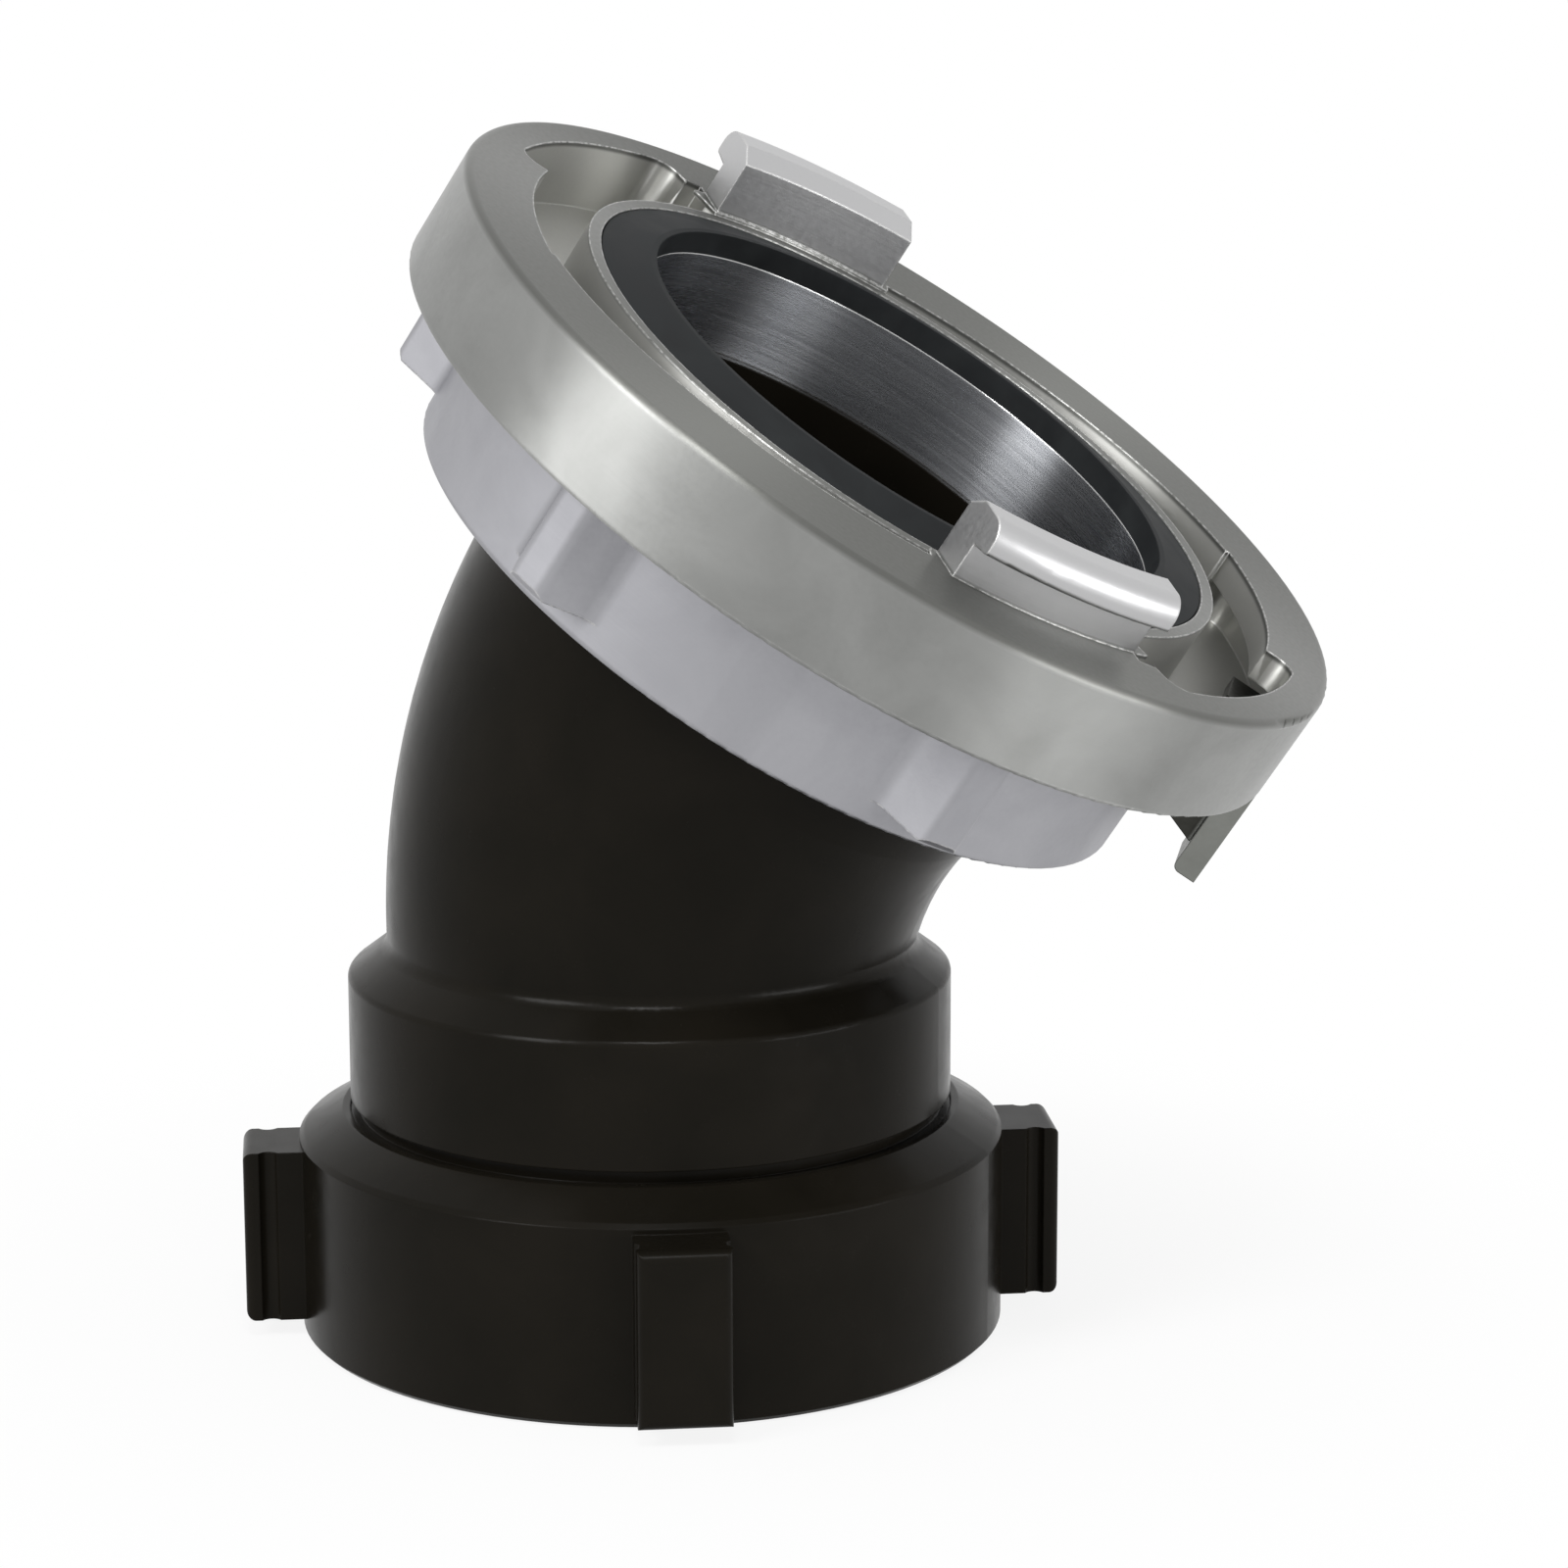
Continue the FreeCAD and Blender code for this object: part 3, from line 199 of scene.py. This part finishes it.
def lathe_sheen(made, amount):
    """Stretch the highlights across the fine lines that a lathe leaves round the head's axis."""
    coordinates = put(made, "TexCoord", {})
    sockets = {0: coordinates["Object"], 1: HEAD_CENTRE}
    arm = put(made, "VectorMath", sockets, operation="SUBTRACT")["Vector"]
    along = put(made, "VectorMath", {0: HEAD_AXIS, 1: arm}, operation="CROSS_PRODUCT")["Vector"]
    sockets = {0: coordinates["Normal"], 1: along}
    across = put(made, "VectorMath", sockets, operation="CROSS_PRODUCT")["Vector"]
    turned_way = put(
        made,
        "VectorTransform",
        {"Vector": across},
        vector_type="VECTOR",
        convert_from="OBJECT",
        convert_to="WORLD",
    )["Vector"]
    drive(made, "Tangent", turned_way)
    if isinstance(amount, bpy.types.NodeSocket):
        drive(made, "Anisotropic", amount)
    else:
        shader_inputs(made)["Anisotropic"].default_value = amount


def dress(made, *names):
    """Give CAD nodes their finish."""
    for name in names:
        worn = parts[name].data.materials
        worn.clear()
        worn.append(made)


# The studio: a long lens a metre away, a little above the adapter, that looks down on its coupling
# face. A pale sweep of paper lies below it, white to the eye, and takes a faint shadow.
lens = bpy.data.cameras.new("photo_lens")
lens.lens = 104.52
lens.sensor_width = 36
lens.clip_start = 0.05
lens.clip_end = 40
eye = bpy.data.objects.new("photo_lens", lens)
eye.location = (0.31905, -0.86971, 0.31182)
eye.rotation_euler = (math.radians(77.957), math.radians(0.141), math.radians(18.370))
scene.collection.objects.link(eye)
scene.camera = eye


def sees_white(made):
    """1 for the kinds of ray that should find a white studio, 0 for the others."""
    path = put(made, "LightPath", {})
    seen = greater(made, path["Is Camera Ray"], path["Is Glossy Ray"])
    return greater(made, seen, path["Is Transmission Ray"])


PAPER_WIDTH = 24
PAPER_DROP = 0.0003
PAPER_GREY = (0.8, 0.8, 0.8, 1)
PAPER_ROUGHNESS = 0.9
SHADOW_INNER, SHADOW_OUTER = 0.07, 0.25
WHITE_UNDER_PART = 0.88
paper = finish("paper", roughness=PAPER_ROUGHNESS)
shader_inputs(paper)["Base Color"].default_value = PAPER_GREY
place = local_place(paper)
away = put(paper, "VectorMath", {0: place}, operation="LENGTH")["Value"]
sockets = {"Value": away, "From Min": SHADOW_INNER, "From Max": SHADOW_OUTER}
sockets["To Min"] = WHITE_UNDER_PART
whiteness = put(paper, "MapRange", sockets, interpolation_type="SMOOTHSTEP")["Result"]
share = times(paper, whiteness, sees_white(paper))
glow = put(paper, "Emission", {"Color": WHITE, "Strength": 1.0})["Emission"]
paper_nodes = paper.node_tree.nodes
lit = paper_nodes["Principled BSDF"].outputs["BSDF"]
mixed = put(paper, "MixShader", {0: share, 1: lit, 2: glow})["Shader"]
paper.node_tree.links.new(mixed, paper_nodes["Material Output"].inputs["Surface"])
bpy.ops.object.select_all(action="DESELECT")
bpy.ops.mesh.primitive_plane_add(size=PAPER_WIDTH, location=(0, 0, -PAPER_DROP))
floor = bpy.context.object
floor.name = "paper_floor"
floor.data.materials.append(paper)
floor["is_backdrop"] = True

SKY_LIGHT, SKY_WHITE = 0.4, 1.0
world = bpy.data.worlds.new("studio")
world.use_nodes = True
scene.world = world
sky = world.node_tree.nodes["Background"]
sky.inputs["Color"].default_value = WHITE
level = spread_out(world, sees_white(world), SKY_LIGHT, SKY_WHITE, 0, 1)
world.node_tree.links.new(level, sky.inputs["Strength"])

# The lamps: name, place, width and height, watts, and the place that each looks at.
LAMPS = (
    ("left_box", (-0.47, -0.91, 0.87), (0.50, 0.50), 10.0, (0.05, 0, 0.18)),
    ("right_box", (0.66, -0.13, 0.05), (0.40, 0.24), 2.2, (0.10, -0.05, 0.14)),
    ("top_strip", (0.25, -0.75, 1.25), (0.34, 0.10), 7.0, (0.02, 0, 0.12)),
)
for name, spot, spread, power, target in LAMPS:
    light = bpy.data.lights.new(name, "AREA")
    light.shape = "RECTANGLE"
    light.size, light.size_y = spread
    light.energy = power
    lamp = bpy.data.objects.new(name, light)
    lamp.location = spot
    aim = mathutils.Vector(target) - lamp.location
    lamp.rotation_euler = aim.to_track_quat("-Z", "Y").to_euler()
    scene.collection.objects.link(lamp)

# The bent casting: aluminium with a thick black coat that has gone slightly warm and satin. The
# coat lies a little unevenly, in slow waves with a fine grain over them.
COAT_DARK, COAT_LIGHT = (0.0062, 0.0054, 0.0038), (0.0095, 0.0080, 0.0058)
COAT_SPECULAR = 0.055
COAT_ROUGHNESS = (0.20, 0.28)
COAT_EDGE = 0.0005
COAT_CLOUD, COAT_PATCH = 0.03, 0.006
WAVE_SIZE, WAVE_DEPTH = 0.014, 0.00005
COAT_GRAIN, COAT_GRAIN_DEPTH = 0.0008, 0.000006


def black_coat(name, start):
    made = finish(name, specular=COAT_SPECULAR)
    place = put(made, "Mapping", {"Vector": local_place(made), "Location": start})["Vector"]
    cloud = patches(made, place, COAT_CLOUD, detail=4.0, distortion=0.4)
    drive(made, "Base Color", blend_colours(made, cloud, COAT_DARK, COAT_LIGHT))
    drive(made, "Roughness", patches(made, place, COAT_PATCH, *COAT_ROUGHNESS, detail=5.0))
    waves = relief(made, grain(made, place, WAVE_SIZE), WAVE_DEPTH, soft_edge(made, COAT_EDGE))
    fine = grain(made, place, COAT_GRAIN, detail=4.0)
    drive(made, "Normal", relief(made, fine, COAT_GRAIN_DEPTH, waves))
    return made


dress(black_coat("black_casting", (0.0, 0.0, 0.0)), "elbow_body")

# The threaded swivel: a turned and milled ring in the same black coat, with four rocker lugs. It
# turns on the casting's spigot.
swivel_coat = black_coat("black_swivel", (0.31, 0.17, 0.05))
dress(swivel_coat, "thread_swivel")

# The swivel's thread: four turns to the inch, cut for a fire hose, with flat crests. It is drawn
# as a ridge that stands in the swivel's bore, from the mouth to the flat gasket.
THREAD_ROOT = 0.06436
THREAD_CREST = 0.0602
THREAD_MIDDLE = (THREAD_ROOT + THREAD_CREST) / 2
THREAD_PITCH = 0.00635
THREAD_START = 0.0027
ROOT_SHARE = 0.82
CREST_SHARE = 0.2
ROUNDS = 3
ROUND_SHARE = 0.95
ROUND_STEPS = 128
SMOOTH_ANGLE = math.radians(35)
bpy.ops.object.select_all(action="DESELECT")
bpy.ops.mesh.primitive_plane_add(
    size=1, location=(THREAD_MIDDLE, 0, THREAD_START), rotation=(math.pi / 2, 0, 0)
)
thread = bpy.context.object
thread.name = "hose_thread_ridge"
thread.scale = (THREAD_ROOT - THREAD_CREST, THREAD_PITCH * ROOT_SHARE, 1)
bpy.ops.object.transform_apply(location=True, rotation=True, scale=True)
for corner in thread.data.vertices:
    if corner.co.x < THREAD_MIDDLE:
        corner.co.z = THREAD_START + (corner.co.z - THREAD_START) * CREST_SHARE
bpy.ops.object.mode_set(mode="EDIT")
bpy.ops.mesh.select_all(action="SELECT")
bpy.ops.mesh.delete(type="ONLY_FACE")
bpy.ops.object.mode_set(mode="OBJECT")
screw = thread.modifiers.new("turns", "SCREW")
screw.screw_offset = THREAD_PITCH * ROUND_SHARE
screw.angle = math.tau * ROUND_SHARE
screw.iterations = ROUNDS
screw.steps = screw.render_steps = ROUND_STEPS
bpy.ops.object.modifier_apply(modifier="turns")
bpy.ops.object.mode_set(mode="EDIT")
bpy.ops.mesh.select_all(action="DESELECT")
bpy.ops.mesh.select_non_manifold()
bpy.ops.mesh.edge_face_add()
bpy.ops.mesh.select_all(action="SELECT")
bpy.ops.mesh.normals_make_consistent(inside=False)
bpy.ops.object.mode_set(mode="OBJECT")
bpy.ops.object.shade_smooth_by_angle(angle=SMOOTH_ANGLE)
thread.data.materials.append(swivel_coat)
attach(thread, "swivel")

# The claw ring: one aluminium casting. Its band, face and claws are turned or milled and then
# coated grey, and its skirt stays as cast, smoother and bluer. A surface takes over from the next
# between two heights above the coupling face, or two distances from the axis.
BAND_DARK, BAND_LIGHT = (0.25, 0.253, 0.245), (0.31, 0.313, 0.305)
SKIRT_DARK, SKIRT_LIGHT = (0.32, 0.32, 0.34), (0.38, 0.38, 0.40)
FACE_GREY = (0.150, 0.152, 0.143)
POCKET_GREY = (0.50, 0.50, 0.48)
CLAW_GREY = (0.50, 0.50, 0.505)
RUBBED_GREY = (0.62, 0.62, 0.61)
SKIRT_HEIGHTS = (-0.0233, -0.0237)
CLAW_HEIGHTS = (0.0002, 0.0008)
FACE_HEIGHTS = (-0.0016, -0.0006)
POCKET_HEIGHTS = (-0.0008, -0.0014)
POCKET_REACHES = (0.0955, 0.0945)
BAND_ROUGHNESS, SKIRT_ROUGHNESS = 0.42, 0.52
ROUGHNESS_SPREAD = 0.03
BAND_SHEEN, CAST_SHEEN = 0.85, 0.0
RING_EDGE = 0.0006
RING_CLOUD = 0.022
LINE_PITCH, LINE_DEPTH, LINE_CHANGE = 0.00045, 0.000012, 1.6
SPECK_SIZE, SPECK_DEPTH = 0.0011, 0.000005
ring = finish("ring_casting", 1.0)
place = local_place(ring, on_head=True)
reach, height = round_place(ring, place)[1:]
cloud = patches(ring, place, RING_CLOUD, detail=4.0, distortion=0.6)
specks = grain(ring, place, SPECK_SIZE, detail=5.0)
edges = soft_edge(ring, RING_EDGE)
on_skirt = ramp(ring, height, *SKIRT_HEIGHTS)
on_claw = ramp(ring, height, *CLAW_HEIGHTS)
on_face = ramp(ring, height, *FACE_HEIGHTS)
sunk = ramp(ring, height, *POCKET_HEIGHTS)
in_pocket = times(ring, sunk, ramp(ring, reach, *POCKET_REACHES))
spotty = spread_out(ring, specks, 0.1, 1.0, start=0.35, end=0.6)
rubbed = times(ring, worn_edges(ring, edges), spotty)
surface = blend_colours(ring, cloud, BAND_DARK, BAND_LIGHT)
surface = blend_colours(ring, on_face, surface, FACE_GREY)
surface = blend_colours(ring, in_pocket, surface, POCKET_GREY)
cast = blend_colours(ring, cloud, SKIRT_DARK, SKIRT_LIGHT)
surface = blend_colours(ring, on_skirt, surface, cast)
surface = blend_colours(ring, on_claw, surface, CLAW_GREY)
drive(ring, "Base Color", blend_colours(ring, rubbed, surface, RUBBED_GREY))
rough = put(ring, "Mix", {0: on_skirt, 2: BAND_ROUGHNESS, 3: SKIRT_ROUGHNESS})[0]
uneven = spread_out(ring, specks, -ROUGHNESS_SPREAD, ROUGHNESS_SPREAD)
drive(ring, "Roughness", put(ring, "Math", {0: rough, 1: uneven}, operation="ADD")[0])
off_band = greater(ring, on_skirt, on_claw)
lathe_sheen(ring, put(ring, "Mix", {0: off_band, 2: BAND_SHEEN, 3: CAST_SHEEN})[0])
lines = relief(ring, round_lines(ring, place, LINE_PITCH, LINE_CHANGE), LINE_DEPTH, edges)
drive(ring, "Normal", relief(ring, specks, SPECK_DEPTH, lines))
dress(ring, "lug_ring")

# The lock lever: a small casting in the ring's finish. It rocks on a steel pin in the ring. Its
# web, inside the ring's chamber, gets painted shade: its colour is made dark for the shade it lies
# in under the band.
TONGUE_DARK, TONGUE_LIGHT = (0.17, 0.175, 0.16), (0.24, 0.245, 0.23)
WEB_PAINTED_SHADE = (0.045, 0.045, 0.04)
WEB_REACHES = (0.0958, 0.0952)
LEVER_ROUGHNESS = (0.34, 0.46)
LEVER_EDGE = 0.0005
LEVER_CLOUD, LEVER_PATCH = 0.01, 0.0012
LEVER_GRAIN, LEVER_GRAIN_DEPTH = 0.0009, 0.00001
lever = finish("lever_casting", 1.0)
place = local_place(lever, on_head=True)
reach = round_place(lever, place)[1]
tongue = blend_colours(lever, grain(lever, place, LEVER_CLOUD), TONGUE_DARK, TONGUE_LIGHT)
# Painted shade: the web's colour is dark because it lies in shade under the band, not because the
# metal is dark.
web_shade_share = ramp(lever, reach, *WEB_REACHES)
drive(lever, "Base Color", blend_colours(lever, web_shade_share, tongue, WEB_PAINTED_SHADE))
drive(lever, "Roughness", patches(lever, place, LEVER_PATCH, *LEVER_ROUGHNESS, detail=5.0))
fine = grain(lever, place, LEVER_GRAIN, detail=4.0)
drive(lever, "Normal", relief(lever, fine, LEVER_GRAIN_DEPTH, soft_edge(lever, LEVER_EDGE)))
dress(lever, "lock_lever")

# The head's liner: turned bright aluminium. Its bore shows the tool's rings, and its rim is worn.
BORE_DARK, BORE_LIGHT = (0.34, 0.35, 0.37), (0.42, 0.43, 0.45)
RIM_GREY = (0.25, 0.25, 0.24)
RIM_RUBBED = (0.70, 0.70, 0.69)
RIM_HEIGHTS = (-0.0034, -0.0030)
BORE_ROUGHNESS = (0.25, 0.29)
BORE_SHEEN = 0.9
RIM_EDGE = 0.0005
TOOL_PITCH, TOOL_DEPTH, TOOL_CHANGE = 0.00035, 0.000005, 2.5
STREAK_PITCH, STREAK_CHANGE = 0.0007, 5.0
liner = finish("machined_shank", 1.0)
place = local_place(liner, on_head=True)
height = round_place(liner, place)[2]
rings = round_lines(liner, place, TOOL_PITCH, TOOL_CHANGE)
streaks = spread_out(liner, round_lines(liner, place, STREAK_PITCH, STREAK_CHANGE), 0, 1)
edges = soft_edge(liner, RIM_EDGE)
bore = blend_colours(liner, streaks, BORE_DARK, BORE_LIGHT)
surface = blend_colours(liner, ramp(liner, height, *RIM_HEIGHTS), bore, RIM_GREY)
surface = blend_colours(liner, worn_edges(liner, edges), surface, RIM_RUBBED)
drive(liner, "Base Color", surface)
drive(liner, "Roughness", spread_out(liner, rings, *BORE_ROUGHNESS))
lathe_sheen(liner, BORE_SHEEN)
drive(liner, "Normal", relief(liner, rings, TOOL_DEPTH, edges))
dress(liner, "head_shank")

# The rubber seals: moulded black rubber, matt, with a faint bloom. The face seal lies in the
# liner's seat, and the flat one against the casting's lower end.
RUBBER_DARK, RUBBER_BLOOM = (0.013, 0.014, 0.015), (0.022, 0.024, 0.025)
RUBBER_ROUGHNESS = (0.5, 0.62)
RUBBER_SPECULAR = 0.05
RUBBER_EDGE = 0.0004
RUBBER_CLOUD = 0.012
RUBBER_GRAIN, RUBBER_GRAIN_DEPTH = 0.0007, 0.000008
rubber = finish("seal_rubber", specular=RUBBER_SPECULAR)
place = local_place(rubber, on_head=True)
bloom = patches(rubber, place, RUBBER_CLOUD, detail=5.0, distortion=0.5)
drive(rubber, "Base Color", blend_colours(rubber, bloom, RUBBER_DARK, RUBBER_BLOOM))
drive(rubber, "Roughness", spread_out(rubber, bloom, *RUBBER_ROUGHNESS, 0, 1))
fine = grain(rubber, place, RUBBER_GRAIN, detail=4.0)
edges = soft_edge(rubber, RUBBER_EDGE)
drive(rubber, "Normal", relief(rubber, fine, RUBBER_GRAIN_DEPTH, edges))
dress(rubber, "head_gasket", "tail_gasket", "tail_seal_ring", "shank_seal_ring")

# Small steel pieces: the wire and its plug, the socket screws, the snap ring, the lever's pin and
# its spring.
STEEL_DARK, STEEL_LIGHT = (0.46, 0.46, 0.47), (0.62, 0.62, 0.63)
STEEL_ROUGHNESS = (0.22, 0.42)
STEEL_CLOUD, STEEL_PATCH = 0.004, 0.0015
STEEL_GRAIN, STEEL_GRAIN_DEPTH = 0.0006, 0.00001
steel = finish("bright_steel", 1.0)
place = local_place(steel)
drive(steel, "Roughness", patches(steel, place, STEEL_PATCH, *STEEL_ROUGHNESS, detail=4.0))
mottle = grain(steel, place, STEEL_CLOUD)
drive(steel, "Base Color", blend_colours(steel, mottle, STEEL_DARK, STEEL_LIGHT))
drive(steel, "Normal", relief(steel, grain(steel, place, STEEL_GRAIN), STEEL_GRAIN_DEPTH))
dress(steel, "retaining_wire", "wire_plug", "snap_ring", "lever_pin", "lever_spring")
dress(steel, "grub_screw_1", "grub_screw_2", "grub_screw_3")

# The wear washers: hard pale plastic, turned from tube, between the liner and the claw ring.
PLASTIC_DARK, PLASTIC_LIGHT = (0.56, 0.53, 0.46), (0.68, 0.65, 0.58)
PLASTIC_ROUGHNESS = 0.45
PLASTIC_CLOUD = 0.008
CUT_PITCH, CUT_DEPTH = 0.0005, 0.00002
plastic = finish("wear_plastic", roughness=PLASTIC_ROUGHNESS)
place = local_place(plastic, on_head=True)
mottle = grain(plastic, place, PLASTIC_CLOUD)
drive(plastic, "Base Color", blend_colours(plastic, mottle, PLASTIC_DARK, PLASTIC_LIGHT))
drive(plastic, "Normal", relief(plastic, round_lines(plastic, place, CUT_PITCH), CUT_DEPTH))
dress(plastic, "front_washer", "rear_washer")

sizes = {"cad_box": cad_box, "visual_box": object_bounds()}
sizes = {key: [[float(v) for v in corner] for corner in box] for key, box in sizes.items()}
